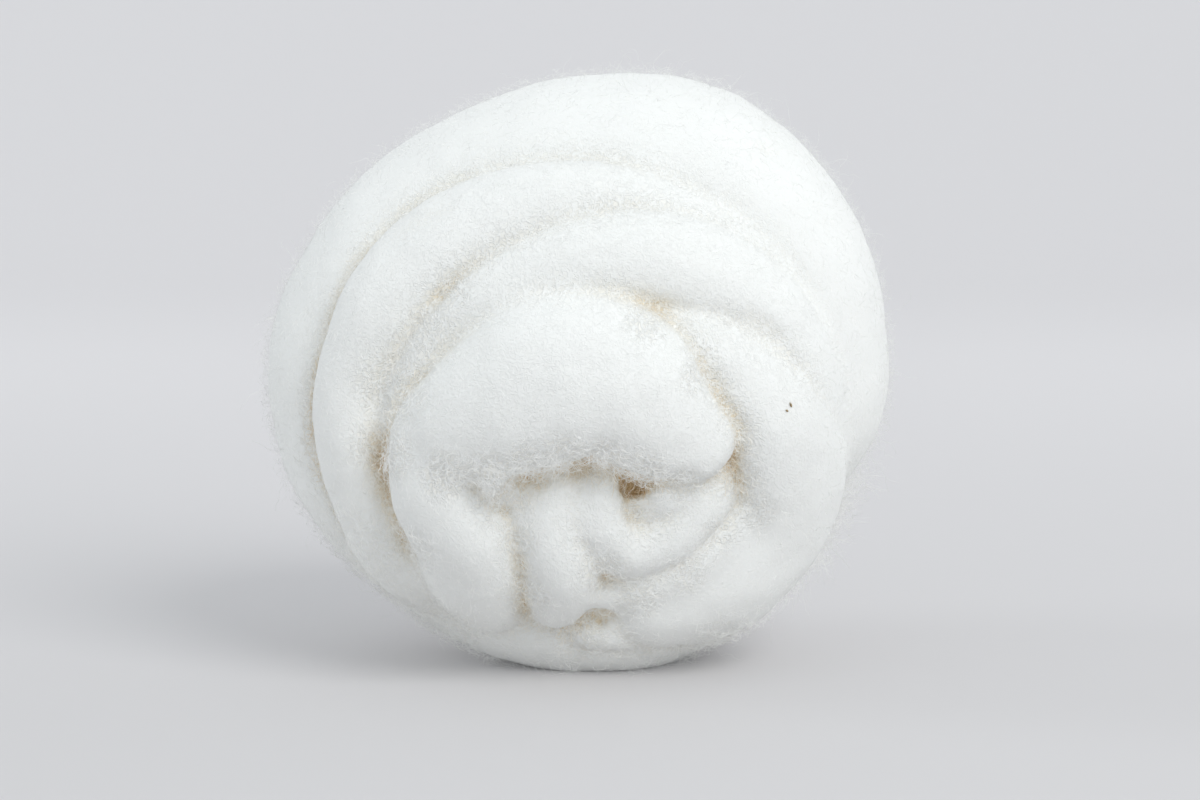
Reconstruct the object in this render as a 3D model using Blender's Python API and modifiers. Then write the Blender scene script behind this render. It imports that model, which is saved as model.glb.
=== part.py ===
"""A ball of wool roving: one long, thick, untwisted strand of carded wool, wound by hand.

The ball stands on a small pressed flat at the origin, +Z up, and its face, where the
strand's inner end is folded and tucked in, looks along -Y. The whole ball is one solid.
Every turn and fold is a soft flattened roll that follows the ball's surface; the rolls
and a core are fused by a voxel remesh, as the real turns cling to one another.
Lengths in the tables are millimetres and angles are degrees.
"""

import math

import bmesh
import bpy
from mathutils import Vector

MM = 0.001

# The ball's form, which the outer turns reach. Seen from its face it is a little lopsided:
# `reach` is its radius every 30 degrees, from 0 at the right through 90 on top.
CENTRE_HEIGHT = 62.0
HALF_DEPTH = 58.0
MEAN_RADIUS = 62.0
OUTLINE_STEP = 30
OUTLINE_REACH = [66.2, 68.2, 68.8, 63.6, 61.0, 63.3, 66.2, 65.0, 63.6, 65.6, 66.8, 64.4]
STANDING_SHIFT = (-0.25, 1.4, 0.0)
CORE_INSET = 11.5
FACE_INSET = 24.0
BACK_INSET = 6.5
RIM_SHARE = 0.99

# How the rolls are drawn and fused.
SECTION_SIDES = 16
SECTION_SQUARENESS = 2.1
STATION_STEP = 3.0
END_ROUNDING = 0.9
VOXEL = 1.6
SMOOTHING_PASSES = 4
KEPT_SHARE = 0.165

# Turns that run right round the ball. `angle` goes round the depth axis as for the outline;
# `forward` is how far towards the face, as a latitude, the turn's middle line lies there.
# `sink` is how far its outer face lies below the ball's form.
TURN_COLUMNS = "angle forward sink half_width half_thickness"
TURNS = {
    "outer_turn": [
        (0, 3, 0.0, 25.0, 11.0),
        (30, 13, 0.0, 27.0, 11.0),
        (60, 19, 0.0, 28.0, 11.0),
        (90, 17, 0.0, 28.0, 11.0),
        (120, 11, 0.0, 26.0, 11.0),
        (150, 10, 0.0, 25.0, 11.0),
        (180, 9, 0.0, 24.0, 11.0),
        (210, 4, 0.0, 23.0, 11.0),
        (240, -12, 1.0, 21.0, 11.0),
        (270, -24, 2.0, 20.0, 11.0),
        (300, -30, 3.0, 20.0, 11.0),
        (325, -24, 4.0, 21.0, 11.0),
        (345, -8, 1.5, 23.0, 11.0),
    ],
    "back_turn": [
        (0, -27, 1.0, 22.0, 10.0),
        (45, -22, 1.0, 21.0, 10.0),
        (90, -21, 1.0, 21.0, 10.0),
        (135, -28, 1.0, 22.0, 10.0),
        (180, -31, 1.0, 22.0, 10.0),
        (225, -38, 1.0, 21.0, 10.0),
        (270, -55, 2.0, 20.0, 10.0),
        (315, -48, 1.0, 21.0, 10.0),
    ],
}

# A length of the strand that crosses the underside and runs under other turns at both ends.
# The columns are those of the turns.
PASSES = {
    "under_pass": [
        (195, -8, 8.0, 16.0, 10.0),
        (222, 0, 2.5, 19.0, 10.0),
        (250, 5, 0.5, 22.0, 10.0),
        (280, 4, 0.0, 23.0, 10.0),
        (308, -13, 0.5, 21.0, 10.0),
        (332, -22, 3.0, 18.0, 10.0),
        (352, -28, 8.0, 16.0, 10.0),
    ],
}

# Folds that show on the face, each from its start to its end. A station is a point
# (x, z) of the roll's visible middle line, its sink below the ball's form, and the
# roll's half width and half thickness there.
FOLD_COLUMNS = "x z sink half_width half_thickness"
FOLDS = {
    "second_turn": [
        (57, 46, 9.0, 6.0, 8.0),
        (53, 66, 7.0, 6.5, 8.0),
        (45, 82, 6.0, 7.0, 8.0),
        (33, 94, 5.0, 7.5, 8.0),
        (15, 102, 3.0, 9.0, 9.0),
        (-3, 104, 0.5, 11.0, 9.5),
        (-20, 100, 0.0, 13.0, 10.0),
        (-34, 92, -0.5, 13.5, 10.0),
        (-44, 80, -1.0, 11.5, 10.0),
        (-50, 65, 0.0, 9.5, 10.0),
        (-51, 50, 0.0, 9.0, 10.0),
        (-48, 35, 0.0, 9.0, 10.0),
        (-41, 21, 0.0, 10.0, 10.0),
        (-30, 8, 2.0, 10.0, 9.0),
    ],
    "third_turn": [
        (-38, 41, 9.0, 6.0, 7.0),
        (-38, 57, 7.0, 8.0, 8.0),
        (-32, 71, 5.5, 9.0, 9.0),
        (-20, 82, 3.0, 9.5, 9.0),
        (-7, 89, 2.0, 10.5, 9.5),
        (7, 92, 1.0, 12.5, 10.0),
        (20, 91, 1.0, 13.0, 10.0),
        (33, 86, 1.5, 12.5, 10.0),
        (45, 75, 2.0, 11.0, 9.0),
        (52, 61, 2.5, 10.0, 8.5),
        (56, 46, 4.0, 8.0, 8.0),
    ],
    "right_lobe": [
        (17, 80, 7.0, 9.0, 8.0),
        (29, 72, 3.5, 12.0, 9.0),
        (41, 61, 1.0, 14.0, 10.5),
        (48, 49, 0.0, 16.5, 11.0),
        (51, 34, 0.0, 21.5, 11.0),
        (46, 20, 0.0, 24.0, 11.0),
        (33, 10, 0.5, 21.5, 10.0),
        (15, 9, 3.0, 14.0, 8.0),
    ],
    "left_lobe": [
        (-19, 3, 4.0, 10.0, 8.0),
        (-23, 15, 0.5, 13.0, 10.0),
        (-26, 27, -1.0, 14.0, 11.0),
        (-31, 37, -1.0, 12.5, 10.5),
        (-33, 46, 0.0, 10.5, 9.5),
        (-32, 55, 1.5, 9.0, 9.0),
        (-26, 63, 3.0, 7.0, 8.0),
    ],
    "hood": [
        (-32, 47, 0.5, 9.0, 8.0),
        (-26, 54, -1.0, 14.0, 10.0),
        (-15, 61, -2.5, 18.0, 12.0),
        (-3, 66, -3.5, 20.0, 13.0),
        (9, 64, -3.0, 19.5, 13.0),
        (19, 57, -1.5, 15.5, 12.0),
        (27, 51, 1.0, 11.0, 9.0),
    ],
    "hood_tip": [
        (-20, 52, 0.0, 7.0, 8.0),
        (-17, 46, 1.0, 6.0, 7.0),
        (-16, 43, 3.0, 5.0, 6.0),
    ],
    "strip": [
        (-6, 48, 11.0, 8.5, 7.0),
        (-6, 41, 7.0, 9.5, 8.0),
        (-6, 33, 4.5, 10.5, 8.0),
        (-4, 24, 3.0, 10.0, 8.0),
        (-4, 18, 3.0, 9.5, 8.0),
        (-5, 12, 4.5, 8.0, 7.0),
    ],
    "loop": [
        (5, 48, 11.0, 7.0, 6.0),
        (5, 41, 7.5, 7.5, 6.5),
        (5, 34, 5.0, 8.0, 6.5),
        (9, 28, 5.0, 8.5, 6.5),
        (15, 27, 5.0, 8.5, 6.5),
        (22, 31, 5.0, 8.5, 6.5),
        (28, 37, 6.0, 8.0, 6.0),
        (33, 44, 8.0, 6.5, 5.0),
    ],
    "tuck": [
        (8, 34, 9.5, 6.5, 5.0),
        (13, 38, 8.5, 7.5, 6.0),
        (21, 40, 7.0, 8.0, 6.0),
        (30, 44, 8.0, 7.0, 6.0),
    ],
    "under_loop": [
        (4, 17, 7.0, 5.0, 5.0),
        (13, 17, 5.5, 7.0, 6.0),
        (24, 21, 5.0, 8.5, 6.0),
        (33, 29, 5.0, 8.0, 6.0),
        (38, 38, 5.5, 6.5, 6.0),
    ],
    "bottom_roll": [
        (-10, 4, 6.0, 6.0, 6.0),
        (3, 6, 3.5, 7.0, 7.0),
        (15, 6, 4.0, 7.5, 7.0),
        (28, 6, 6.0, 6.0, 6.0),
    ],
}

# Lengths that lie side by side across the back, with the columns of the face's folds.
BACK_FOLDS = {
    "right_back_length": [
        (0, 113, 8.0, 15.0, 9.0),
        (13, 97, 3.5, 20.0, 10.0),
        (25, 78, 2.5, 21.0, 10.0),
        (34, 59, 2.5, 21.0, 10.0),
        (39, 40, 4.0, 19.0, 10.0),
        (39, 24, 8.0, 15.0, 9.0),
    ],
    "left_back_length": [
        (-50, 84, 8.0, 15.0, 9.0),
        (-37, 69, 3.0, 20.0, 10.0),
        (-25, 51, 2.0, 21.0, 10.0),
        (-17, 33, 2.5, 20.0, 10.0),
        (-11, 15, 8.0, 16.0, 9.0),
    ],
    "middle_back_length": [
        (-29, 105, 8.0, 16.0, 9.0),
        (-16, 86, 1.5, 21.0, 10.5),
        (-2, 64, -0.5, 23.0, 11.0),
        (9, 43, 0.0, 22.0, 11.0),
        (16, 22, 3.0, 19.0, 10.0),
        (20, 8, 8.0, 16.0, 9.0),
    ],
}

CENTRE = Vector((0.0, 0.0, CENTRE_HEIGHT))


def smooth_between(before, here, there, after, t):
    """Catmull-Rom interpolation from `here` to `there`."""
    return 0.5 * (
        2 * here
        + (there - before) * t
        + (2 * before - 5 * here + 4 * there - after) * t**2
        + (3 * here - before - 3 * there + after) * t**3
    )


def reach_at(angle):
    """The form's radius, seen from the face, in the direction of `angle`."""
    place = (angle % 360) / OUTLINE_STEP
    i = int(place)
    count = len(OUTLINE_REACH)
    picks = [OUTLINE_REACH[(i + k) % count] for k in (-1, 0, 1, 2)]
    return smooth_between(*picks, place - i)


def at_latitude(angle, forward, inset):
    """The point of the form, drawn in by `inset`, at an angle and a latitude."""
    a, f = math.radians(angle), math.radians(forward)
    reach = (reach_at(angle) - inset) * math.cos(f)
    depth = (HALF_DEPTH - inset) * math.sin(f)
    return CENTRE + Vector((reach * math.cos(a), -depth, reach * math.sin(a)))


def on_face(x, z, inset):
    """The point of the form, drawn in by `inset`, at (x, z) on the side that looks along -Y."""
    rise = z - CENTRE_HEIGHT
    reach = reach_at(math.degrees(math.atan2(rise, x))) - inset
    share = math.hypot(x, rise) / reach
    if share > RIM_SHARE:
        x, rise, share = x * RIM_SHARE / share, rise * RIM_SHARE / share, RIM_SHARE
    return Vector((x, -(HALF_DEPTH - inset) * math.sqrt(1.0 - share**2), CENTRE_HEIGHT + rise))


def on_back(x, z, inset):
    """The same on the side that looks along +Y."""
    x, y, z = on_face(x, z, inset)
    return Vector((x, -y, z))


def outward(point):
    """The form's outward direction at a point."""
    x, y, z = point - CENTRE
    reach = reach_at(math.degrees(math.atan2(z, x)))
    return Vector((x / reach**2, y / HALF_DEPTH**2, z / reach**2)).normalized()


def rows_below(place, table):
    """A roll's middle line, below the points where its outer face lies, with its depth and half sizes."""
    rows = []
    for first, second, sink, half_width, half_thickness in table:
        top = place(first, second, sink)
        middle = top - outward(top) * half_thickness
        rows.append((middle, sink + half_thickness, half_width, half_thickness))
    return rows


def smooth_stations(rows, closed):
    """Smooth stations about STATION_STEP apart through a roll's rows."""
    count = len(rows)
    stations = []
    for i in range(count if closed else count - 1):
        picks = [(i + k) % count if closed else min(max(i + k, 0), count - 1) for k in (-1, 0, 1, 2)]
        near = [rows[p] for p in picks]
        steps = max(1, round((near[2][0] - near[1][0]).length / STATION_STEP))
        for s in range(steps):
            stations.append(tuple(smooth_between(*values, s / steps) for values in zip(*near)))
    if not closed:
        stations.append(rows[-1])
    return stations


def section(middle, along, depth, half_width, half_thickness):
    """One flattened cross-section, wrapped onto the ball's roundness across the roll."""
    up = outward(middle)
    up = (up - along * up.dot(along)).normalized()
    side = along.cross(up)
    from_centre = MEAN_RADIUS - depth
    places = []
    for k in range(SECTION_SIDES):
        angle = 2 * math.pi * k / SECTION_SIDES
        c, s = math.cos(angle), math.sin(angle)
        across = half_width * math.copysign(abs(c) ** (2 / SECTION_SQUARENESS), c)
        height = half_thickness * math.copysign(abs(s) ** (2 / SECTION_SQUARENESS), s)
        turned = across / MEAN_RADIUS
        reach = from_centre + height
        rise = reach * math.cos(turned) - from_centre
        places.append((middle + side * (reach * math.sin(turned)) + up * rise) * MM)
    return places


def bridge(bm, first, second):
    """Faces between two rings of the same count."""
    count = len(first)
    for k in range(count):
        n = (k + 1) % count
        bm.faces.new((first[k], first[n], second[n], second[k]))


def add_roll(bm, rows, closed):
    """Lofts one roll along its rows; an open roll gets blunt rounded ends."""
    stations = smooth_stations(rows, closed)
    count = len(stations)
    rings = []
    for i, (middle, *sizes) in enumerate(stations):
        ahead = stations[(i + 1) % count if closed else min(i + 1, count - 1)][0]
        behind = stations[i - 1 if closed else max(i - 1, 0)][0]
        along = (ahead - behind).normalized()
        rings.append([bm.verts.new(p) for p in section(middle, along, *sizes)])
    for first, second in zip(rings, rings[1:]):
        bridge(bm, first, second)
    if closed:
        bridge(bm, rings[-1], rings[0])
        return
    for ring, end, inner in ((rings[0], stations[0], stations[1]), (rings[-1], stations[-1], stations[-2])):
        out = (end[0] - inner[0]).normalized()
        centre = end[0] * MM
        nose = end[-1] * END_ROUNDING * MM
        previous = ring
        for share in (0.5, 0.85):
            shrink = math.sqrt(1.0 - share**2)
            cap = [bm.verts.new(centre + (v.co - centre) * shrink + out * (nose * share)) for v in ring]
            bridge(bm, previous, cap)
            previous = cap
        bm.faces.new(previous)


def add_core(bm):
    """The wool inside, under all the turns: deeper in the middle of the face, less deep behind."""
    for v in bmesh.ops.create_icosphere(bm, subdivisions=4, radius=1.0)["verts"]:
        angle = math.degrees(math.atan2(v.co.z, v.co.x))
        forward = math.degrees(math.asin(max(-1.0, min(1.0, -v.co.y))))
        inset = CORE_INSET
        inset += (FACE_INSET - CORE_INSET) * max(-v.co.y, 0.0) ** 4
        inset += (BACK_INSET - CORE_INSET) * max(v.co.y, 0.0) ** 2
        v.co = at_latitude(angle, forward, inset) * MM


def build_rolls():
    """All the rolls and the core in one mesh, still overlapping."""
    bm = bmesh.new()
    add_core(bm)
    for tables, place, closed in (
        (TURNS, at_latitude, True),
        (PASSES, at_latitude, False),
        (FOLDS, on_face, False),
        (BACK_FOLDS, on_back, False),
    ):
        for table in tables.values():
            add_roll(bm, rows_below(place, table), closed)
    bmesh.ops.recalc_face_normals(bm, faces=bm.faces)
    bmesh.ops.translate(bm, verts=bm.verts, vec=Vector(STANDING_SHIFT) * MM)
    mesh = bpy.data.meshes.new("wool_roving_ball")
    bm.to_mesh(mesh)
    bm.free()
    return mesh


def material():
    wool = bpy.data.materials.new("natural_white_wool")
    wool.use_nodes = True
    shader = wool.node_tree.nodes["Principled BSDF"]
    shader.inputs["Base Color"].default_value = (0.86, 0.84, 0.77, 1.0)
    shader.inputs["Roughness"].default_value = 0.95
    shader.inputs["Metallic"].default_value = 0.0
    return wool


def collection(name):
    made = bpy.data.collections.new(name)
    bpy.context.scene.collection.children.link(made)
    return made


def floor_cutter(home):
    """A block whose top is the surface that the ball stands on."""
    side = 4 * MEAN_RADIUS * MM
    bpy.ops.mesh.primitive_cube_add(size=side, location=(0.0, 0.0, -side / 2))
    block = bpy.context.object
    block.name = "resting_surface"
    for old in block.users_collection:
        old.objects.unlink(block)
    home.objects.link(block)
    block.hide_render = True
    block.display_type = "WIRE"
    return block


def main():
    for obj in list(bpy.data.objects):
        bpy.data.objects.remove(obj, do_unlink=True)
    parts = collection("wool_roving")
    cutters = collection("cutters")
    ball = bpy.data.objects.new("wool_roving_ball", build_rolls())
    parts.objects.link(ball)
    ball.data.materials.append(material())
    fuse = ball.modifiers.new("fuse_turns", "REMESH")
    fuse.mode = "VOXEL"
    fuse.voxel_size = VOXEL * MM
    fuse.use_smooth_shade = True
    soften = ball.modifiers.new("soften", "SMOOTH")
    soften.factor = 0.5
    soften.iterations = SMOOTHING_PASSES
    thin = ball.modifiers.new("thin_out", "DECIMATE")
    thin.ratio = KEPT_SHARE
    flat = ball.modifiers.new("pressed_flat", "BOOLEAN")
    flat.operation = "DIFFERENCE"
    flat.object = floor_cutter(cutters)
    bpy.context.view_layer.update()
    return ball


main()
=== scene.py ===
# %% [markdown]
# # A ball of wool roving
# Roving is carded wool drawn out into one long, thick, untwisted strand. This ball is
# such a strand wound by hand: broad turns run right round it, and on its face the inner
# end is folded over and tucked into the middle. The lesson builds the fused turns, then
# lays thousands of single fibres over them, because wool is seen by its fibres.
# All lengths in the tables are millimetres and all angles are degrees.

# %% Open the frame
import math
import bmesh
import bpy
import numpy as np
from mathutils import Matrix, Vector, noise
from mathutils.kdtree import KDTree


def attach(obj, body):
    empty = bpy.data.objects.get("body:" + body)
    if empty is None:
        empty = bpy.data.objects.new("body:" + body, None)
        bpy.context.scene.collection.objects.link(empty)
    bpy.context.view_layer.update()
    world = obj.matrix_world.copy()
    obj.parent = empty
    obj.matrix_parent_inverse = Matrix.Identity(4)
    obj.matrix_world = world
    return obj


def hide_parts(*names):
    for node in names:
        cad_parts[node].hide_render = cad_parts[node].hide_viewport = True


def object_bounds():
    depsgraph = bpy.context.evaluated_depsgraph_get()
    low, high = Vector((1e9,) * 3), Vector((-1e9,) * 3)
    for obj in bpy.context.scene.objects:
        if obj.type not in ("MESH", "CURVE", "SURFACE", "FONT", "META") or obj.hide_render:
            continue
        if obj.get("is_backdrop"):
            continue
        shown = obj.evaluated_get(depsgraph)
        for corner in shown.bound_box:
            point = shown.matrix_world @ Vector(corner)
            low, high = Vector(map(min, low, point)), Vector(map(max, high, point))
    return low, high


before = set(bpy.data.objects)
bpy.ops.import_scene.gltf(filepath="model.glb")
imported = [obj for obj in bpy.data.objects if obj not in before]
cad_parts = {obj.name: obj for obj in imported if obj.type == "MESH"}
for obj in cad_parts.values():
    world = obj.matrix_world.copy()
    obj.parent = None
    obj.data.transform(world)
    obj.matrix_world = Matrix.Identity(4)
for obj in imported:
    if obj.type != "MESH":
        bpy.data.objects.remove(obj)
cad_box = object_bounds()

MM = 0.001
scene = bpy.context.scene


def placed(name, data):
    """A new object in the scene."""
    made = bpy.data.objects.new(name, data)
    scene.collection.objects.link(made)
    return made


def mesh_from(bm, name):
    """The mesh that a bmesh holds."""
    made = bpy.data.meshes.new(name)
    bm.to_mesh(made)
    bm.free()
    return made


print("box of the CAD model:", cad_box)

# %% [markdown]
# ## The camera
# The camera comes first, so that every later step can be judged through it. It stands 0.6 m off,
# a little above the ball's middle, and its long lens keeps the ball from looking swollen. A shift
# across its own view places the ball left of the middle.

# %% The camera
CENTRE = Vector((-0.25, 1.4, 62.0)) * MM
CAMERA_DISTANCE = 600 * MM
CAMERA_RISE = math.radians(6)
LENS, SENSOR_WIDTH = 84.15, 36
ASIDE, DROP = 4.7 * MM, 6.2 * MM

back = Vector((0, -math.cos(CAMERA_RISE), math.sin(CAMERA_RISE)))
right = Vector((1, 0, 0))
up = Vector((0, math.sin(CAMERA_RISE), math.cos(CAMERA_RISE)))
camera = placed("camera", bpy.data.cameras.new("camera"))
camera.location = CENTRE + back * CAMERA_DISTANCE + right * ASIDE - up * DROP
camera.rotation_mode = "QUATERNION"
camera.rotation_quaternion = (-back).to_track_quat("-Z", "Y")
camera.data.lens = LENS
camera.data.sensor_width = SENSOR_WIDTH
camera.data.clip_start = 10 * MM
scene.camera = camera
print("camera at", tuple(round(v, 3) for v in camera.location))

# %% [markdown]
# ## The winding, as tables
# Each turn or fold of the strand is a soft, flattened roll on the ball's surface. A row of a
# table says where the roll's outer face lies and how wide and thick it is there. The ball is a
# little lopsided: its radius is listed every 30 degrees round its face, and `on_face` and
# `at_latitude` find points on that form. Sculpting by hand could not be repeated, but rolls
# lofted along smooth lines give the same creases every time.

# %% The ball's form
HALF_DEPTH = 58
MEAN_RADIUS = 62
CENTRE_HEIGHT = 62
OUTLINE_STEP = 30
OUTLINE_REACH = [66.2, 68.2, 68.8, 63.6, 61, 63.3, 66.2, 65, 63.6, 65.6, 66.8, 64.4]
STANDING_SHIFT = Vector((-0.25, 1.4, 0))
RIM_SHARE = 0.99
MIDDLE = Vector((0, 0, CENTRE_HEIGHT))


def smooth_between(before, here, there, after, t):
    """Catmull-Rom interpolation from `here` to `there`."""
    return 0.5 * (
        2 * here
        + (there - before) * t
        + (2 * before - 5 * here + 4 * there - after) * t**2
        + (3 * here - before - 3 * there + after) * t**3
    )


def reach_at(angle):
    """The form's radius at an angle round its face."""
    place = (angle % 360) / OUTLINE_STEP
    i = int(place)
    picks = [OUTLINE_REACH[(i + k) % len(OUTLINE_REACH)] for k in (-1, 0, 1, 2)]
    return smooth_between(*picks, place - i)


def at_latitude(angle, forward, inset):
    """A point of the form, drawn in by `inset`."""
    a, f = math.radians(angle), math.radians(forward)
    reach = (reach_at(angle) - inset) * math.cos(f)
    depth = (HALF_DEPTH - inset) * math.sin(f)
    return MIDDLE + Vector((reach * math.cos(a), -depth, reach * math.sin(a)))


def on_face(x, z, inset):
    """The same, by its x and z on the side of the face."""
    rise = z - CENTRE_HEIGHT
    reach = reach_at(math.degrees(math.atan2(rise, x))) - inset
    share = math.hypot(x, rise) / reach
    if share > RIM_SHARE:
        x, rise, share = x * RIM_SHARE / share, rise * RIM_SHARE / share, RIM_SHARE
    depth = (HALF_DEPTH - inset) * math.sqrt(1 - share**2)
    return Vector((x, -depth, CENTRE_HEIGHT + rise))


def on_back(x, z, inset):
    """The same on the far side."""
    x, y, z = on_face(x, z, inset)
    return Vector((x, -y, z))


def outward(point):
    """The form's outward direction at a point."""
    x, y, z = point - MIDDLE
    reach = reach_at(math.degrees(math.atan2(z, x)))
    return Vector((x / reach**2, y / HALF_DEPTH**2, z / reach**2)).normalized()


print("radius of the form:", [round(reach_at(a), 1) for a in range(0, 360, 45)])

# %% The turns that run right round
# Columns: angle, latitude towards the face, sink below the form, half width, half thickness.
TURNS = {
    "outer_turn": [
        (0, 3, 0, 25, 11), (30, 13, 0, 27, 11), (60, 19, 0, 28, 11), (90, 17, 0, 28, 11),
        (120, 11, 0, 26, 11), (150, 10, 0, 25, 11), (180, 9, 0, 24, 11), (210, 4, 0, 23, 11),
        (240, -12, 1, 21, 11), (270, -24, 2, 20, 11), (300, -30, 3, 20, 11),
        (325, -24, 4, 21, 11), (345, -8, 1.5, 23, 11),
    ],
    "back_turn": [
        (0, -27, 1, 22, 10), (45, -22, 1, 21, 10), (90, -21, 1, 21, 10), (135, -28, 1, 22, 10),
        (180, -31, 1, 22, 10), (225, -38, 1, 21, 10), (270, -55, 2, 20, 10),
        (315, -48, 1, 21, 10),
    ],
}
PASSES = {
    "under_pass": [
        (195, -8, 8, 16, 10), (222, 0, 2.5, 19, 10), (250, 5, 0.5, 22, 10), (280, 4, 0, 23, 10),
        (308, -13, 0.5, 21, 10), (332, -22, 3, 18, 10), (352, -28, 8, 16, 10),
    ],
}
print("turns:", ", ".join([*TURNS, *PASSES]))

# %% The folds of the face and the lengths across the back
# Columns: x and z of the visible middle line, sink, half width, half thickness.
FOLDS = {
    "second_turn": [
        (57, 46, 9, 6, 8), (53, 66, 7, 6.5, 8), (45, 82, 6, 7, 8), (33, 94, 5, 7.5, 8),
        (15, 102, 3, 9, 9), (-3, 104, 0.5, 11, 9.5), (-20, 100, 0, 13, 10),
        (-34, 92, -0.5, 13.5, 10), (-44, 80, -1, 11.5, 10), (-50, 65, 0, 9.8, 10),
        (-51, 50, 0, 10, 10), (-48, 35, 0, 10, 10), (-41, 21, 0, 10, 10), (-30, 8, 2, 10, 9),
    ],
    "third_turn": [
        (-38, 41, 8.2, 6, 7), (-38, 57, 6.4, 8, 8), (-32, 71, 5.5, 9, 9), (-20, 82, 3, 9.5, 9),
        (-7, 89, 2, 10.5, 9.5), (7, 92, 1, 12.5, 10), (20, 91, 1, 13, 10),
        (33, 86, 1.5, 12.5, 10), (45, 75, 2, 11, 9), (52, 61, 2.5, 10, 8.5), (56, 46, 4, 8, 8),
    ],
    "right_lobe": [
        (17, 80, 7, 9, 8), (29, 72, 3.5, 12, 9), (41, 61, 1, 14, 10.5), (48, 49, 0, 16.5, 11),
        (51, 34, 0, 21.5, 11), (46, 20, 0, 24, 11), (33, 10, 0.5, 21.5, 10), (15, 9, 3, 14, 8),
    ],
    "left_lobe": [
        (-19, 3, 4, 10, 8), (-23, 15, 0.5, 13, 10), (-26, 27, -1, 14, 11),
        (-31, 37, -1, 12.5, 10.5), (-33, 46, 0, 10.5, 9.5), (-32, 55, 1.5, 9, 9),
        (-26, 63, 3, 7, 8),
    ],
    "hood": [
        (-32, 47, 0.5, 9, 8), (-26, 54, -1, 14, 10), (-15, 61, -2.5, 18, 12),
        (-3, 66.5, -3.5, 19.5, 13), (9, 65, -3, 19, 13), (19, 57, -1.5, 15.5, 12),
        (27, 51, 1, 11, 9),
    ],
    "hood_tip": [(-20, 52, 0, 7, 8), (-17, 46, 1, 6, 7), (-16, 43, 3, 5, 6)],
    "strip": [
        (-6, 48, 11, 8.5, 7), (-6, 41, 7, 9.5, 8), (-6, 33, 4.5, 10.5, 8), (-4, 24, 3, 10, 8),
        (-4, 18, 3, 9.5, 8), (-5, 12, 4.5, 8, 7),
    ],
    "loop": [
        (5, 48, 11, 7, 6), (5, 41, 7.5, 7.5, 6.5), (5, 34, 5, 8, 6.5), (9, 28, 5.6, 8.5, 6.5),
        (15, 27, 5.8, 8.5, 6.5), (22, 31, 5.6, 8.5, 6.5), (28, 37, 6, 8, 6),
        (33, 44, 8, 6.5, 5),
    ],
    "tuck": [(8, 34, 9.5, 6.5, 5), (13, 38, 8.5, 7.5, 6), (21, 40, 7, 8, 6), (30, 44, 8, 7, 6)],
    "under_loop": [
        (4, 17, 7, 5, 5), (13, 17, 5.5, 7, 6), (24, 21, 5, 8.5, 6), (33, 29, 5, 8, 6),
        (38, 38, 5.5, 6.5, 6),
    ],
    "bottom_roll": [(-10, 4, 6, 6, 6), (3, 6, 3.5, 7, 7), (15, 6, 4, 7.5, 7), (28, 6, 6, 6, 6)],
}
BACK_FOLDS = {
    "right_back_length": [
        (0, 113, 8, 15, 9), (13, 97, 3.5, 20, 10), (25, 78, 2.5, 21, 10), (34, 59, 2.5, 21, 10),
        (39, 40, 4, 19, 10), (39, 24, 8, 15, 9),
    ],
    "left_back_length": [
        (-50, 84, 8, 15, 9), (-37, 69, 3, 20, 10), (-25, 51, 2, 21, 10), (-17, 33, 2.5, 20, 10),
        (-11, 15, 8, 16, 9),
    ],
    "middle_back_length": [
        (-29, 105, 8, 16, 9), (-16, 86, 1.5, 21, 10.5), (-2, 64, -0.5, 23, 11),
        (9, 43, 0, 22, 11), (16, 22, 3, 19, 10), (20, 8, 8, 16, 9),
    ],
}
print("folds on the face:", len(FOLDS), "- lengths on the back:", len(BACK_FOLDS))

# %% [markdown]
# ## Lofting the rolls
# A loft needs stations close together along the line and a flattened ring at each one, bent to
# the ball's roundness. While the rolls are still separate, each keeps two things that the wool
# needs later: `lay`, the direction of its strand, and `measure`, how far a spot lies along the
# strand and across it. A closed turn measures along itself there and back again, so no seam shows
# where it meets its own start.

# %% One roll
SECTION_SIDES = 32
SECTION_SQUARENESS = 2.1
STATION_STEP = 2
END_ROUNDING = 0.9
END_RINGS = (0.5, 0.85)


def rows_below(place, table):
    """A roll's middle line, depth and half sizes, from a table of its outer face."""
    rows = []
    for first, second, sink, half_width, half_thickness in table:
        top = place(first, second, sink)
        middle = top - outward(top) * half_thickness
        rows.append((middle, sink + half_thickness, half_width, half_thickness))
    return rows


def smooth_stations(rows, closed):
    """Smooth stations about STATION_STEP apart through a roll's rows."""
    last = len(rows) - 1
    stations = []
    for i in range(last + 1 if closed else last):
        around = [i + k for k in (-1, 0, 1, 2)]
        near = [rows[k % len(rows) if closed else min(max(k, 0), last)] for k in around]
        steps = max(1, round((near[2][0] - near[1][0]).length / STATION_STEP))
        for s in range(steps):
            stations.append(tuple(smooth_between(*values, s / steps) for values in zip(*near)))
    return stations if closed else [*stations, rows[-1]]


def squared(value):
    """A sine or cosine pushed outwards, so that a ring is flatter than an ellipse."""
    return math.copysign(abs(value) ** (2 / SECTION_SQUARENESS), value)


def section(middle, along, depth, half_width, half_thickness):
    """A ring bent to the ball's roundness: points, and how far across each lies."""
    up_here = outward(middle)
    up_here = (up_here - along * up_here.dot(along)).normalized()
    side = along.cross(up_here)
    from_centre = MEAN_RADIUS - depth
    places = []
    for k in range(SECTION_SIDES):
        angle = 2 * math.pi * k / SECTION_SIDES
        turned = half_width * squared(math.cos(angle)) / MEAN_RADIUS
        reach = from_centre + half_thickness * squared(math.sin(angle))
        rise = reach * math.cos(turned) - from_centre
        spot = middle + side * (reach * math.sin(turned)) + up_here * rise
        places.append((spot * MM, angle * half_width * MM))
    return places


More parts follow.
